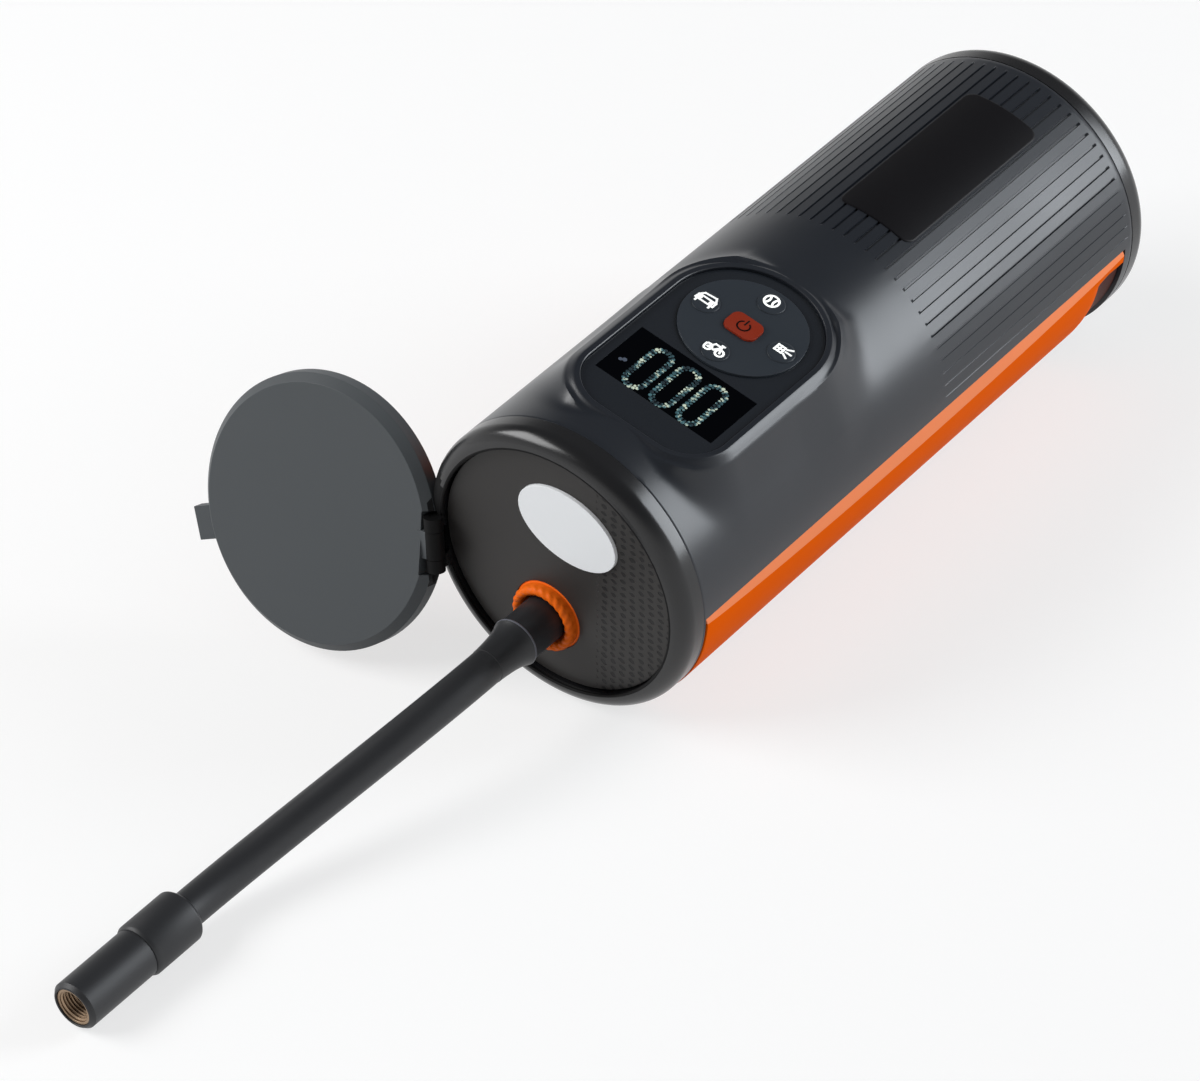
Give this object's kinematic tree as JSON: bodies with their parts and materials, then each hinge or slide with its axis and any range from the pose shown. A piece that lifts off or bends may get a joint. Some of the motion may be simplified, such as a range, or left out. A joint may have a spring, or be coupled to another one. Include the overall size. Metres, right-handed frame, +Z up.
{
  "type": "tyre inflator with gauge",
  "caption": "Hand-held cordless tyre inflator: round body, raised display pod with keys, front lamp, hinged front lid and a short hose with a screw-on chuck.",
  "frame": {"origin": "centre of the resting face of the foot strip that the tool lies on", "axes": "+Y from the front face with lid, lamp and hose to the rear cap, +Z up from the table, +X to the right seen from the front end; the display leans 20 degrees towards +X"},
  "size_m": [0.1357, 0.3262, 0.0773],
  "materials": {
    "body": "satin",
    "trim": "satin",
    "face": "matt",
    "lid": "satin",
    "orange": "satin",
    "badge": "gloss",
    "cover": "gloss",
    "keys": "satin",
    "power": "satin",
    "lens": "frosted",
    "reflector": "polished",
    "rubber": "matt",
    "brass": "turned",
    "steel": "brushed",
    "alloy": "cast",
    "board": "coated",
    "holder": "matt",
    "cell": "sleeved",
    "white": "moulded"
  },
  "bodies": {
    "tool": {"main_shell": "body", "front_bezel": "trim", "face_plate": "face", "lamp_lens": "lens", "lamp_reflector": "reflector", "lamp_board": "board", "lamp_leds": "white", "outlet_ring": "orange", "outlet_block": "alloy", "hose_stub": "rubber", "hose_ferrule": "rubber", "air_hose": "rubber", "chuck_collar": "rubber", "chuck_sleeve": "rubber", "chuck_insert": "brass", "chuck_washer": "rubber", "chuck_depressor": "brass", "side_rail_right": "orange", "side_rail_left": "orange", "name_plate": "badge", "foot_strips": "rubber", "pod_cover": "cover", "display_window": "cover", "key_plate": "keys", "key_switches": "holder", "display_module": "holder", "control_board": "board", "rear_cap": "trim", "rear_cap_screws": "steel", "charge_socket": "steel", "charge_board": "board", "battery_cells": "cell", "cell_holder_front": "holder", "cell_holder_rear": "holder", "cell_links": "steel", "motor": "steel", "cylinder": "alloy", "cylinder_head": "alloy", "head_screws": "steel", "pump_frame": "holder", "crank_bearings": "steel", "air_tube": "white", "pressure_sensor": "steel", "lid_pin": "steel"},
    "lid_swing": {"lid": "lid"},
    "motor_rotor": {"motor_shaft": "steel", "pinion": "brass"},
    "crank": {"crank_shaft": "steel", "drive_gear": "white", "crank_wheel": "steel"},
    "piston_body": {"piston": "alloy", "piston_ring": "rubber", "wrist_pin": "steel"},
    "rod": {"con_rod": "alloy"},
    "power_key": {"power_button": "power"},
    "front_key": {"key_front": "keys"},
    "rear_key": {"key_rear": "keys"},
    "left_key": {"key_left": "keys"},
    "right_key": {"key_right": "keys"}
  },
  "joints": [
    {"name": "lid_hinge", "type": "hinge", "parent": "tool", "child": "lid_swing", "pos_m": [-0.03198, -0.0955, 0.03548], "axis": [-0.0344, 0.165, 0.9857], "range_deg": [0, 92]},
    {"name": "crank_spin", "type": "hinge", "parent": "tool", "child": "crank", "pos_m": [0.00342, -0.036, 0.046], "axis": [0, 1, 0], "continuous": true},
    {"name": "motor_spin", "type": "hinge", "parent": "tool", "child": "motor_rotor", "pos_m": [-0.00274, -0.008, 0.02908], "axis": [0, 1, 0], "continuous": true},
    {"name": "piston_stroke", "type": "slide", "parent": "tool", "child": "piston_body", "axis": [0.342, 0, 0.9397], "range_m": [0, 0.01]},
    {"name": "rod_swing", "type": "hinge", "parent": "piston_body", "child": "rod", "pos_m": [-0.00513, -0.055, 0.02251], "axis": [0, 1, 0], "range_deg": [-14.5, 14.5]},
    {"name": "power_press", "type": "slide", "parent": "tool", "child": "power_key", "axis": [-0.342, 0, -0.9397], "range_m": [0, 0.0007], "stiffness_N_per_m": 900, "springref_m": -0.0004},
    {"name": "front_press", "type": "slide", "parent": "tool", "child": "front_key", "axis": [-0.342, 0, -0.9397], "range_m": [0, 0.0007], "stiffness_N_per_m": 900, "springref_m": -0.0004},
    {"name": "rear_press", "type": "slide", "parent": "tool", "child": "rear_key", "axis": [-0.342, 0, -0.9397], "range_m": [0, 0.0007], "stiffness_N_per_m": 900, "springref_m": -0.0004},
    {"name": "left_press", "type": "slide", "parent": "tool", "child": "left_key", "axis": [-0.342, 0, -0.9397], "range_m": [0, 0.0007], "stiffness_N_per_m": 900, "springref_m": -0.0004},
    {"name": "right_press", "type": "slide", "parent": "tool", "child": "right_key", "axis": [-0.342, 0, -0.9397], "range_m": [0, 0.0007], "stiffness_N_per_m": 900, "springref_m": -0.0004}
  ],
  "couplings": [
    {"joint": "motor_spin", "follows": "crank_spin", "ratio": -4}
  ]
}
